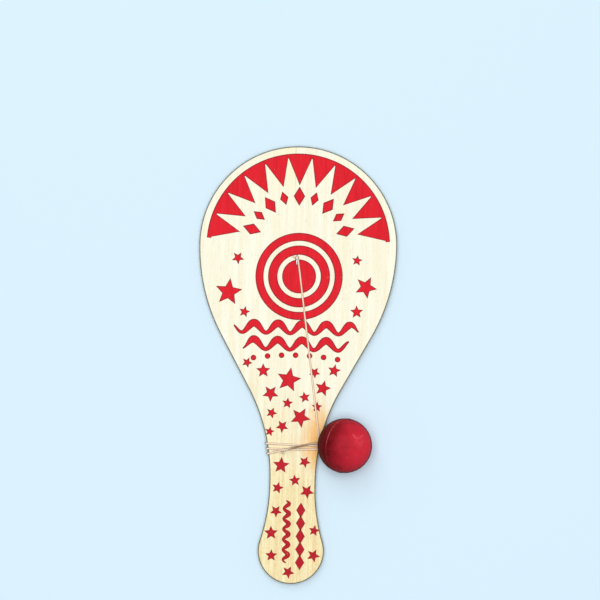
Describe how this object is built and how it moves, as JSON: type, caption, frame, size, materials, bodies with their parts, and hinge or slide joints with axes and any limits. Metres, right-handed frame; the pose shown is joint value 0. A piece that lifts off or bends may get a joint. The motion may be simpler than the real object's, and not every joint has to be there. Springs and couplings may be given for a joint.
{
  "type": "paddle ball game",
  "caption": "Plywood paddle with a round blade and short handle; an elastic thread stapled to the blade is wound round the neck and carries a rubber ball.",
  "frame": {"origin": "under the middle of the paddle's length and width, on the surface that the game lies on", "axes": "+Y along the paddle towards the top of the blade, +X to the right seen from the printed face, +Z out of the printed face"},
  "size_m": [0.127, 0.281, 0.035],
  "materials": {
    "face_veneer": "sanded basswood veneer, screen printed in red",
    "core_veneer": "cross-grained core, seen at the edge",
    "back_veneer": "sanded basswood veneer, unprinted",
    "staple_wire": "bright galvanised wire",
    "elastic_thread": "natural rubber thread, dusted",
    "ball_rubber": "soft sheen, fine mould texture"
  },
  "bodies": {
    "paddle": {"face_ply": "face_veneer", "core_ply": "core_veneer", "back_ply": "back_veneer", "staple": "staple_wire", "elastic_knot": "elastic_thread", "elastic_run": "elastic_thread", "elastic_wraps": "elastic_thread"},
    "lead": {"elastic_lead": "elastic_thread"},
    "ball": {"ball": "ball_rubber", "ball_knot": "elastic_thread"}
  },
  "joints": [
    {"name": "ball_swing", "type": "hinge", "parent": "paddle", "child": "lead", "pos_m": [0.0135, -0.04993, 0.00908], "axis": [0, -1, 0], "range_deg": [0, 90]},
    {"name": "ball_pull", "type": "slide", "parent": "lead", "child": "ball", "axis": [0.9165, -0.0269, 0.3991], "range_m": [0, 0.08], "stiffness_N_per_m": 40, "springref_m": -0.01, "deforming": ["elastic_lead"]}
  ]
}
